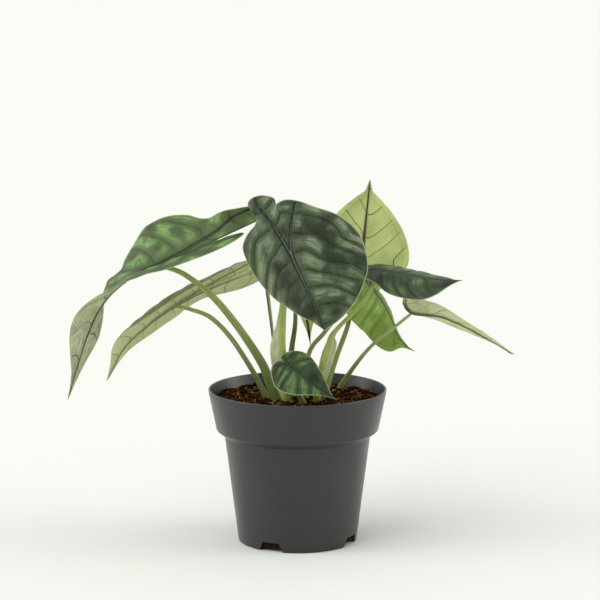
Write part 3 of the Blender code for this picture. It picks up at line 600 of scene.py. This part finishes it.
def blade_material(name, look, spacing):
    """Leaf tissue: sunken dark veins and silvery quilting above, the silver partly painted sheen on the
    pillows, with painted shade beside the side veins, a painted highlight along the midrib and a painted
    rim light at the margin; a pale veined underside.
    """
    s = Shader(bpy.data.materials.new(name))
    phase, spine, edge = s.split(s.attribute("veins", vector=True))
    along, across, under = s.split(s.attribute("flat", vector=True))
    flat = s.join(along, across)
    lateral = s.times(s.maths("PINGPONG", phase, 0.5), spacing)
    halfway = s.times(s.maths("PINGPONG", s.plus(phase, 0.5), 0.5), spacing)
    streaks = s.noise(s.join(s.times(phase, 6), s.times(across, 0.08)), 1.3, 4, 0.65)
    patches = s.noise(flat, 0.058, 2, 0.45)
    fine = s.noise(flat, 0.9, 3)
    crackle = s.cells(flat, 0.42)

    main = s.fall(spine, 0.8, 1.6)
    near = s.fall(lateral, 0.1, 0.55)
    near = s.times(near, s.step(edge, 1.2, 5, 0, look["lines"]))
    near = s.times(near, s.step(s.noise(flat, 0.11, 2), 0.33, 0.6, 0.25, 1))
    minor = s.times(s.fall(halfway, 0.05, 0.35, 0.3), s.step(edge, 2, 6))
    collective = s.fall(s.apart(edge, Veins.COLLECTIVE), 0.08, 0.42, 0.4)
    veins = s.most(main, near)
    lines = s.most(veins, s.most(minor, collective))

    # Painted sheen, partly the leaf's own silvery tone: the raised pillows between the side veins are
    # lightened towards the silver_and_sheen colour.
    lift = s.times(s.step(lateral, 0.7, 0.4 * spacing), s.step(spine, 1.5, 8))
    lift = s.times(lift, s.step(patches, 0.45, 0.57, 0.06, 1))
    lift = s.times(lift, s.step(streaks, 0.34, 0.62, 0.3, 1))
    # Painted shade in the grooves beside the side veins, darkening the blade towards its vein colour.
    shade = s.times(s.fall(lateral, 0.3, 2.6), s.step(patches, 0.35, 0.6, 1, 0.35))
    top = s.mix(lift, look["top"], look["silver_and_sheen"])
    top = s.mix(s.times(s.step(fine, 0.45, 0.75), 0.3), top, look["silver_and_sheen"])
    for share in (s.times(s.fall(patches, 0.36, 0.48), 0.8), s.times(shade, 0.5),
                  s.times(s.fall(streaks, 0.36, 0.46), 0.3), s.times(s.fall(crackle, 0, 0.12), 0.16),
                  s.most(veins, s.times(lines, 0.4))):
        top = s.mix(share, top, look["vein"])
    # Painted highlight along the middle of the midrib.
    midrib_highlight = s.times(s.fall(spine, 0.1, 0.6, 0.5), s.step(fine, 0.3, 0.6))
    top = s.mix(midrib_highlight, top, look["silver_and_sheen"])
    # Painted rim light along the margin.
    top = s.mix(s.fall(edge, 0.2, 0.85, 0.75), top, PAINTED_RIM_LIGHT)

    wrinkles = s.noise(s.join(s.times(along, 0.07), across), 1.1, 3, 0.6)
    wrinkles = s.fall(s.apart(wrinkles, 0.5), 0, 0.05, look["wrinkles"])
    pale, dull = (tuple(min(0.88, light * c) for c in look["under"]) for light in (1.12, 0.72))
    below = s.mix(s.step(patches, 0.3, 0.7), dull, pale)
    below = s.mix(s.times(s.step(streaks, 0.35, 0.7), 0.35), below, dull)
    thin = s.most(s.fall(spine, 0.5, 1), s.fall(lateral, 0.12, 0.5))
    thin = s.times(thin, s.step(edge, 1, 4))
    for share in (s.times(s.fall(crackle, 0, 0.1), 0.12), wrinkles,
                  s.most(s.times(thin, 0.92), s.times(lines, 0.5))):
        below = s.mix(share, below, look["vein_under"])

    colour = s.mix(under, top, below)
    height = s.plus(s.times(crackle, 0.5), s.times(fine, 0.35))
    height = s.plus(height, s.times(s.maths("SUBTRACT", 1, lines), 0.5))
    height = s.plus(height, s.times(streaks, 0.6))
    normal = s.bump(height, 0.6, 0.0007)
    rough = s.plus(s.step(fine, 0.3, 0.7, 0.34, 0.48), s.times(under, 0.15))
    skin = s.skin(colour, rough, 0.32, Normal=normal)
    drawn = s.most(lines, s.times(thin, under))
    lit = s.mix(s.times(drawn, 0.9), look["through"], colour)
    through = s.node("BsdfTranslucent", {"Color": lit, "Normal": normal})
    glow = s.step(under, 0, 1, look["glow_top"], look["glow"])
    return s.surface(s.node("MixShader", {0: glow, 1: skin, 2: through}))


def stalk_material(name, low, high):
    """A striped stalk that changes colour on its way up, with a pale papery edge where it sheathes; on the
    left stalks the change is painted shade at the foot and a painted highlight near the blade.
    """
    s = Shader(bpy.data.materials.new(name))
    stripes = s.noise(s.attribute("stripes", vector=True), 2.6, 4, 0.6)
    blotches = s.grain((60, 60, 30), 3)
    # From the foot colour to the blade colour; on the left stalks this is painted shade below and a painted
    # highlight above.
    green = s.mix(s.attribute("rise"), low, high)
    dark = s.mix(0.4, green, (0.012, 0.024, 0.004))
    light = s.mix(0.35, green, (0.62, 0.74, 0.2))
    colour = s.mix(s.step(stripes, 0.32, 0.68), dark, light)
    colour = s.mix(s.times(s.step(blotches, 0.4, 0.7), 0.5), colour, green)
    colour = s.mix(s.attribute("foot"), colour, STALK_FOOT)
    papery = s.mix(s.step(stripes, 0.35, 0.6), (0.44, 0.47, 0.24), (0.72, 0.74, 0.5))
    colour = s.mix(s.attribute("sheath"), colour, papery)
    normal = s.bump(stripes, 0.45, 0.0004)
    skin = s.skin(colour, s.step(blotches, 0.3, 0.7, 0.34, 0.48), 0.35, Normal=normal)
    through = s.node("BsdfTranslucent", {"Color": s.mix(0.4, colour, (0.8, 0.92, 0.36)), "Normal": normal})
    return s.surface(s.node("MixShader", {0: 0.3, 1: skin, 2: through}))


def pot_material():
    """Dark grey moulded plastic with a soft sheen and faint scuffs."""
    s = Shader(bpy.data.materials.new("pot_plastic"))
    grain = s.grain((900, 900, 900), 4, 0.6)
    drawn = s.grain((26, 26, 700), 3)
    clouds = s.grain((26, 26, 18), 4)
    scuffs = s.grain((60, 60, 420), 6, 0.7)
    colour = s.mix(clouds, (0.019, 0.019, 0.0195), (0.027, 0.027, 0.0275))
    # Painted shade: the inner wall below the rim is darkened to near black.
    colour = s.mix(s.attribute("inside"), colour, (0.006, 0.006, 0.006))
    colour = s.mix(s.times(s.step(scuffs, 0.62, 0.78), 0.3), colour, (0.1, 0.1, 0.097))
    rough = s.plus(s.step(clouds, 0.3, 0.7, 0.3, 0.4), s.step(scuffs, 0.55, 0.8, 0, 0.18))
    rough = s.plus(rough, s.times(s.attribute("inside"), 0.45))
    height = s.plus(s.times(grain, 0.6), s.times(drawn, 0.5))
    return s.surface(s.skin(colour, rough, 0.5, Normal=s.bump(height, 0.28, 0.0003)))


def mix_material():
    """Damp dark peat with brown coir and a few pale bits."""
    s = Shader(bpy.data.materials.new("potting_mix"))
    tone = s.attribute("tone")
    grain = s.grain((700, 700, 700), 6, 0.65)
    clods = s.grain((110, 110, 110), 4)
    peat = s.mix(s.step(clods, 0.35, 0.7), (0.01, 0.0045, 0.0018), (0.04, 0.017, 0.006))
    peat = s.mix(s.times(s.step(grain, 0.5, 0.75), 0.6), peat, (0.11, 0.048, 0.018))
    coir = s.mix(grain, (0.11, 0.042, 0.013), (0.3, 0.13, 0.048))
    bits = s.mix(grain, (0.33, 0.22, 0.12), (0.66, 0.54, 0.36))
    colour = s.mix(s.step(tone, 0.3, 0.5), peat, coir)
    colour = s.mix(s.step(tone, 0.75, 0.9), colour, bits)
    rough = s.step(clods, 0.3, 0.7, 0.8, 1)
    return s.surface(s.skin(colour, rough, 0, Normal=s.bump(grain, 0.9, 0.0007)))


# ---- blades


def blade_piece(name, blade):
    """A blade as one closed skin: quilted, with its veins sunken above and standing out below."""
    look = LOOKS[name]
    share, across, ring = blade.flat()
    rings, count = share.shape
    points = blade.point(share, across)
    seed = SEED + sorted(LEAVES).index(name)
    veins = Veins(blade, look, share, across, seed, rim_distance(points))

    body = np.vstack([blade.centre[blade.root], points.reshape(-1, 3)])
    normals = np.vstack([blade.up[blade.root], blade.normal(share, across).reshape(-1, 3)])

    def with_root(values, at_root):
        return np.concatenate([[at_root], np.asarray(values).ravel()])

    pillow = with_root(veins.pillow(), 0)
    sway = waves(body, 0.55 * blade.length, seed) * with_root(ring, 0) * 0.9
    ripple = waves(body, 9, seed + 50) * pillow * 0.22
    groove = with_root(np.exp(-(veins.spine / (1.3 * veins.rib)) ** 2) * veins.rib, 1)
    size = look["quilt"]
    body = body + normals * (size * pillow + 0.55 * size * sway + ripple - 0.35 * groove)[:, None]

    lateral = np.exp(-((abs(veins.phase - np.round(veins.phase)) * veins.spacing) / 0.7) ** 2)
    edge = with_root(veins.edge, 20)
    thick = BLADE_THICKNESS * (0.5 + 0.5 * smooth_step(0, 2.5, edge))
    rib = with_root(1.1 * veins.rib * np.exp(-(veins.spine / veins.rib) ** 2) + 0.22 * lateral, 1.3)
    rib *= smooth_step(0.5, 4, edge)
    above = body + normals * (thick / 2)[:, None]
    below = body - normals * (thick / 2 + rib)[:, None]

    total = len(body)
    rim = 1 + (rings - 1) * count
    i = np.arange(count)
    j = (i + 1) % count
    faces = sheet_faces(rings, count)
    faces += [[total + v for v in reversed(f)] for f in faces]
    faces += np.stack([rim + j, rim + i, total + rim + i, total + rim + j], axis=1).tolist()
    phase, spine, along, over = (with_root(values, 0) for values in (
        veins.phase, veins.spine / veins.rib, veins.along, veins.across))
    attributes = {"veins": np.tile(np.stack([phase, spine, edge], axis=1), (2, 1)),
                  "flat": np.vstack([np.stack([along + 100 * seed, over, np.full(total, side)], axis=1)
                                     for side in (0, 1)])}
    obj = new_object(name + "_blade", np.vstack([above, below]), faces, attributes, BLADE_SHARP_DEG)
    outward(obj)
    material = blade_material(obj.name, look, veins.spacing)
    slot = "young_blade" if name in YOUNG else "mature_blade"
    declare(obj, material, slot, "blade_" + name)


def outward(obj):
    """Turns a closed piece's faces outwards."""
    built = bmesh.new()
    built.from_mesh(obj.data)
    if built.calc_volume(signed=True) < 0:
        bmesh.ops.reverse_faces(built, faces=built.faces)
    built.to_mesh(obj.data)
    built.free()


# ---- stalks


def stalk_route(blade):
    """Places, widths and depths from the rooted end up into the blade's underside."""
    leaf = blade.leaf
    rows = [(*plant_point(*row[:3]), row[3] * PLANT_SCALE, row[4] * PLANT_SCALE) for row in leaf["stalk"]]
    rooted = np.array(rows[0]) - (0, 0, STALK_ROOTED, 0, 0)
    attach, up = blade.centre[blade.root], blade.up[blade.root]
    end = leaf["end"] * PLANT_SCALE
    arrive = unit(np.array(rows[-1][:3]) - attach)
    bend = attach + unit(arrive - 0.45 * up) * STALK_BEND * PLANT_SCALE
    tip = attach - up * STALK_TIP_BELOW
    rows = [tuple(rooted)] + rows + [(*bend, end, end), (*tip, 0.7 * end, 0.45 * end)]
    return spline(rows, np.linspace(0, len(rows) - 1, STALK_STEPS * (len(rows) - 1) + 1))


def stalk_piece(name, blade):
    """A stalk, round above and channelled towards its foot, where it sheathes the next one."""
    route = stalk_route(blade)
    places = route[:, :3]
    axis = unit(np.gradient(places, axis=0))
    travelled = np.concatenate([[0], np.cumsum(np.linalg.norm(np.diff(places, axis=0), axis=1))])
    high = travelled / travelled[-1]
    seed = SEED + 20 + sorted(LEAVES).index(name)
    turns = round_turns(STALK_SIDES)
    wide = np.array([1, 0, 0])
    points, stripes, foot, sheath = [], [], [], []
    wing = SHEATHS.get(name, 0)
    for step, (place, direction) in enumerate(zip(places, axis)):
        width, depth = route[step, 3:5]
        wide = unit(wide - direction * (wide @ direction))
        deep = np.cross(direction, wide)
        flat = max(0, width / depth - 1.25)
        channel = 0.22 * min(1, flat) * np.exp(-((turns - 1.1 * math.pi / 2) / 0.75) ** 2)
        ridges = 0.018 * np.sin(turns * 9 + seed) + 0.012 * np.sin(turns * 14 + 2 * seed)
        swell = (1 + ridges - channel) * (1 + 0.35 * math.exp(-travelled[step] / 5))
        out, rise = np.cos(turns) * swell * width / 2, np.sin(turns) * swell * depth / 2
        papery = np.zeros(STALK_SIDES)
        if wing:
            core = min(width, 1.35 * depth) / 2
            centre = wing * (width / 2 - core)
            round_part = np.sqrt(np.clip(1 - ((out - centre) / core) ** 2, 0, 1)) * core
            open_share = smooth_step(1, 1.7, width / depth)
            thin = np.sign(np.sin(turns)) * np.maximum(round_part, 0.28)
            curve = SHEATH_CURL * (out - centre) ** 2 * (abs(out - centre) > core)
            rise = rise * (1 - open_share) + (thin + curve) * open_share
            papery = smooth_step(0.8 * core, 1.5 * core, -wing * (out - centre)) * open_share
        points.append(place + np.outer(out, wide) + np.outer(rise, deep))
        sheath.append(papery)
        stripes.append(np.stack([2.2 * np.cos(turns) + seed, 2.2 * np.sin(turns),
                                 np.full(STALK_SIDES, travelled[step] * 0.035)], axis=1))
        foot.append(np.full(STALK_SIDES, math.exp(-max(0, travelled[step] - 6) / 6)))
    faces = tube_faces(len(points), STALK_SIDES)
    attributes = {"stripes": np.vstack(stripes), "foot": np.concatenate(foot) * 0.75,
                  "sheath": np.concatenate(sheath), "rise": np.repeat(high, STALK_SIDES)}
    obj = new_object(name + "_petiole", np.vstack(points), faces, attributes)
    outward(obj)
    declare(obj, stalk_material(obj.name, *STALK_GREENS[name]), "petiole", "petiole_" + name)


# ---- pot


def pot_outline():
    """The pot's outer profile upwards, as (radius, height)."""
    band = RIM_RADIUS - BAND_TAPER
    shelf = band - LEDGE_WIDTH
    low = POT_HEIGHT - BAND_HEIGHT
    return ((BASE_RADIUS, 0), (shelf, low - LEDGE_DROP), (band, low), (RIM_RADIUS, POT_HEIGHT))


def rounded(corners, radii, steps=5):
    """The profile with each inner corner replaced by an arc-like curve of this reach."""
    made = [corners[0]]
    for before, corner, after, reach in zip(corners, corners[1:], corners[2:], radii):
        before, corner, after = (np.array(p, float) for p in (before, corner, after))
        into, out = unit(before - corner) * reach, unit(after - corner) * reach
        for part in np.linspace(0, 1, steps):
            made.append(tuple(corner + (1 - part) ** 2 * into + part ** 2 * out))
    made.append(corners[-1])
    return made


def lathe(name, profile):
    """A closed solid of revolution whose profile starts and ends on the axis."""
    turns = round_turns(POT_SEGMENTS)
    rings = [(radius * math.cos(t), radius * math.sin(t), z) for radius, z in profile[1:-1] for t in turns]
    points = [(0, 0, profile[0][1]), *rings, (0, 0, profile[-1][1])]
    first, *walls, top = [[1 + v for v in f] for f in tube_faces(len(profile) - 2, POT_SEGMENTS)]
    faces = walls + [[0, a, b] for a, b in zip(first, first[1:] + first[:1])]
    faces += [[a, b, len(points) - 1] for a, b in zip(top, top[1:] + top[:1])]
    return new_object(name, points, faces, sharp_deg=POT_SHARP_DEG)


def notch_cutter(index):
    """A wedge-sided block across the bottom edge of the pot's wall."""
    near, far = BASE_RADIUS - NOTCH_DEPTH, BASE_RADIUS + 4
    low, high = NOTCH_WIDTH_LOW / 2, NOTCH_WIDTH_HIGH / 2
    below = 1
    wider = low + below * (low - high) / NOTCH_HEIGHT
    section = [(-wider, -below), (wider, -below), (high, NOTCH_HEIGHT), (-high, NOTCH_HEIGHT)]
    turn = math.radians(NOTCH_FIRST_DEG + 360 * index / NOTCH_COUNT)
    out, side = np.array([math.cos(turn), math.sin(turn)]), np.array([-math.sin(turn), math.cos(turn)])
    points = [(*(out * reach + side * across), z) for reach in (near, far) for across, z in section]
    faces = [[0, 1, 2, 3], [7, 6, 5, 4]]
    faces += [[i, (i + 1) % 4, 4 + (i + 1) % 4, 4 + i] for i in range(4)]
    cutter = new_object(f"notch_cutter_{index}", points, faces)
    outward(cutter)
    return cutter


def pot_piece():
    """The pot with softened edges, its band, its ledge and the notches in its foot."""
    base, shelf, band, rim = pot_outline()
    inner = [(rim[0] - WALL, rim[1]), (band[0] - WALL, band[1] + 0.3), (shelf[0] - WALL, shelf[1] + 0.6),
             (BASE_RADIUS + 0.2 - WALL, FLOOR), (0, FLOOR)]
    lip = [(rim[0] - 0.55, rim[1] - 4.2), (rim[0] - 0.28, rim[1] - 3.3), rim]
    corners = [(0, 0), *FOOT_RING, base, shelf, band] + lip + inner
    reach = [0.5, 0.5, 0.3, 0.3, 0.9, 1.2, 0.9, 0.5, 0.5, 0.5, 0.5, 2, 1.2, 1]
    profile = [(0, 0)] + rounded(corners, reach)[1:-1] + [(0, FLOOR)]
    pot = lathe("pot_body", profile)
    outward(pot)
    cutters = [notch_cutter(i) for i in range(NOTCH_COUNT)]
    for cutter in cutters:
        modifier = pot.modifiers.new(cutter.name, "BOOLEAN")
        modifier.operation = "DIFFERENCE"
        modifier.solver = "EXACT"
        modifier.object = cutter
    graph = bpy.context.evaluated_depsgraph_get()
    cut = bpy.data.meshes.new_from_object(pot.evaluated_get(graph))
    pot.modifiers.clear()
    pot.data = cut
    for cutter in cutters:
        bpy.data.objects.remove(cutter)
    pot.data.shade_smooth()
    pot.data.set_sharp_from_angle(angle=math.radians(POT_SHARP_DEG))
    # The inner wall below the rim, which the pot's material darkens as painted shade.
    low_radius, low_height = shelf[0] - WALL, shelf[1]
    slope = (rim[0] - WALL - low_radius) / (rim[1] - low_height)
    places = np.array([tuple(v.co) for v in pot.data.vertices]) / MM
    wall = low_radius + slope * (places[:, 2] - low_height) + 0.5 * WALL
    inside = (np.hypot(places[:, 0], places[:, 1]) < wall) & (places[:, 2] > 0.5 * FLOOR)
    below_rim = smooth_step(rim[1] - 0.5, rim[1] - 4, places[:, 2])
    write_attribute(pot.data, "inside", inside * below_rim)
    declare(pot, pot_material(), "pot_plastic", "nursery_pot")


# ---- potting mix


def mix_height(x, y):
    """The surface of the mix: the gentle lie of it, clods, and fine crumbs."""
    flat = np.stack([x, y, np.zeros_like(x)], axis=-1)
    lie = 0.7 * (np.sin(0.16 * x + 0.4) * np.cos(0.13 * y - 0.7) + 0.5 * np.sin(0.31 * x - 0.27 * y))
    return (MIX_TOP + lie + 0.55 * waves(flat, 9, SEED + 70) + 0.35 * waves(flat, 3.2, SEED + 71)
            + 0.15 * waves(flat, 1.5, SEED + 72))


def mix_piece():
    """The mix as a rough surface in one closed body, with its crumbs, fibres and flecks on it."""
    _, shelf, band, rim = pot_outline()
    edge = band[0] + (rim[0] - band[0]) * (MIX_TOP - band[1]) / (rim[1] - band[1]) - WALL - MIX_EDGE_GAP
    turns = round_turns(MIX_SEGMENTS)
    round_about = np.stack([np.cos(turns), np.sin(turns)], axis=1)
    flat = np.vstack([np.zeros((1, 2))] + [radius * round_about
                                           for radius in edge * np.linspace(0, 1, MIX_RINGS + 1)[1:]])
    points = [np.column_stack([flat, mix_height(*flat.T)])]
    walls = ((shelf[0] - WALL - 0.8, shelf[1]), (BASE_RADIUS - WALL - 0.4, FLOOR + 0.4))
    for radius, height in walls:
        points.append(np.column_stack([radius * round_about, np.full(MIX_SEGMENTS, height)]))
    points.append(np.array([[0, 0, FLOOR + 0.4]]))
    faces = sheet_faces(MIX_RINGS + len(walls), MIX_SEGMENTS)
    last = 1 + (MIX_RINGS + len(walls)) * MIX_SEGMENTS
    under = last - MIX_SEGMENTS + np.arange(MIX_SEGMENTS)
    faces += np.stack([under, np.full(MIX_SEGMENTS, last), np.roll(under, -1)], axis=1).tolist()
    bits = [(np.vstack(points), faces, 0)] + crumbs(edge) + fibres(edge)
    points, faces, tones = [], [], []
    for bit_points, bit_faces, tone in bits:
        start = len(tones)
        points.append(bit_points)
        faces += [[v + start for v in f] for f in bit_faces]
        tones += [tone] * len(bit_points)
    obj = new_object("potting_mix_body", np.vstack(points), faces, {"tone": tones}, MIX_SHARP_DEG)
    outward(obj)
    declare(obj, mix_material(), "potting_mix", "potting_mix")


def ball():
    """The points and faces of a small round body."""
    built = bmesh.new()
    bmesh.ops.create_icosphere(built, subdivisions=1, radius=1)
    points = np.array([v.co[:] for v in built.verts])
    faces = [[v.index for v in f.verts] for f in built.faces]
    built.free()
    return points, faces


def crumbs(edge):
    """Crumbs of peat and flecks of coir and bark, half sunk in the surface."""
    rng = np.random.default_rng(SEED + 1)
    points, faces = ball()
    found = []
    for index in range(CRUMBS + FLECKS):
        fleck = index >= CRUMBS
        radius = edge * math.sqrt(rng.uniform(0, 0.985))
        turn = rng.uniform(0, 2 * math.pi)
        size = rng.uniform(0.35, 0.95) if fleck else rng.gamma(2.2, 0.22) + 0.25
        radius = min(radius, edge - 1.6 * size)
        x, y = radius * math.cos(turn), radius * math.sin(turn)
        shape = rng.uniform(0.55, 1.25, 3) * (1, 1, 0.75)
        if fleck:
            shape = shape * (1.9, 0.7, 0.5)
        lumps = points * shape * size * (1 + 0.22 * rng.normal(size=(len(points), 1)).clip(-1.5, 1.5))
        spin = rng.uniform(0, 2 * math.pi)
        c, s = math.cos(spin), math.sin(spin)
        lumps = lumps @ np.array([[c, s, 0], [-s, c, 0], [0, 0, 1]])
        height = float(mix_height(np.array([x]), np.array([y]))[0])
        placed = lumps + (x, y, height + 0.25 * size)
        if fleck:
            tone = rng.choice([COIR_TONE, PALE_TONE], p=[0.72, 0.28])
        else:
            tone = rng.choice([*PEAT_TONES, COIR_TONE], p=[0.62, 0.2, 0.18])
        found.append((placed, faces, tone))
    return found


def fibres(edge):
    """Short curved coir fibres lying on the surface."""
    rng = np.random.default_rng(SEED + 2)
    sides, steps = 5, 9
    found = []
    for _ in range(FIBRES):
        radius = (edge - 6) * math.sqrt(rng.uniform(0, 1))
        turn, heading = rng.uniform(0, 2 * math.pi, 2)
        x, y = radius * math.cos(turn), radius * math.sin(turn)
        length, bend = rng.uniform(4, 11), rng.uniform(-0.14, 0.14)
        route = []
        for step in range(steps):
            route.append((x, y))
            heading += bend * length / steps
            x += math.cos(heading) * length / steps
            y += math.sin(heading) * length / steps
        route = np.array(route)
        far = np.linalg.norm(route, axis=1).max()
        if far > edge - 1:
            route = route * (edge - 1) / far
        rise = 0.45 + 0.9 * np.sin(np.linspace(0, math.pi, steps)) * rng.uniform(0, 1)
        z = mix_height(route[:, 0], route[:, 1]) + rise
        centre = np.column_stack([route, z])
        axis = unit(np.gradient(centre, axis=0))
        side = unit(np.cross(axis, (0, 0, 1)))
        up = np.cross(side, axis)
        thick = rng.uniform(0.09, 0.2) * np.sin(np.linspace(0.35, math.pi - 0.35, steps))
        points = [centre[k] + thick[k] * (math.cos(t) * side[k] + math.sin(t) * up[k])
                  for k in range(steps) for t in round_turns(sides)]
        tone = rng.choice([COIR_TONE, PALE_TONE], p=[0.8, 0.2])
        found.append((np.array(points), tube_faces(steps, sides), tone))
    return found


# ---- studio


def camera():
    """The camera, level across and tipped a little down, from the front."""
    made = bpy.data.cameras.new("camera")
    made.lens = LENS
    made.sensor_width = SENSOR
    made.clip_end = 100
    obj = bpy.data.objects.new("camera", made)
    obj.location = CAMERA_PLACE
    obj.rotation_euler = (math.radians(90 - CAMERA_DOWN_DEG), 0, 0)
    bpy.context.scene.collection.objects.link(obj)
    bpy.context.scene.camera = obj


def glow(s, direction, towards, spread_deg, strength):
    """A soft round patch of light on the surround, as a strength to add."""
    facing = s.node("VectorMath", {0: direction, 1: unit(towards)}, {"operation": "DOT_PRODUCT"}, "Value")
    return s.step(facing, math.cos(math.radians(spread_deg)), 1, 0, strength)


def studio():
    """A white surround, brighter behind than in front, with soft bright patches, and a pale floor."""
    world = bpy.data.worlds.new("studio")
    bpy.context.scene.world = world
    s = Shader(world)
    direction = s.node("TexCoord", out="Generated")
    total = s.node("MapRange", {"Value": s.split(direction)["Y"], **SURROUND})
    for patch in GLOWS:
        total = s.plus(total, glow(s, direction, *patch))
    s.surface(s.node("Background", {"Color": SURROUND_COLOUR, "Strength": total}))
    mesh = bpy.data.meshes.new("floor")
    corners = [(x * FLOOR_HALF, y * FLOOR_HALF, 0) for x, y in ((-1, -1), (1, -1), (1, 1), (-1, 1))]
    mesh.from_pydata(corners, [], [(0, 1, 2, 3)])
    floor = bpy.data.objects.new("floor", mesh)
    floor.location.z = -FLOOR_DROP
    bpy.context.scene.collection.objects.link(floor)
    s = Shader(bpy.data.materials.new("floor"))
    mesh.materials.append(s.surface(s.skin(s.mix(s.grain((3, 3, 3), 2), *FLOOR_TONES), 1, 0)))
    bpy.context.scene.view_settings.view_transform = "Standard"


def main():
    camera()
    studio()
    pot_piece()
    mix_piece()
    for name, leaf in LEAVES.items():
        blade = Blade(leaf)
        blade_piece(name, blade)
        stalk_piece(name, blade)


main()
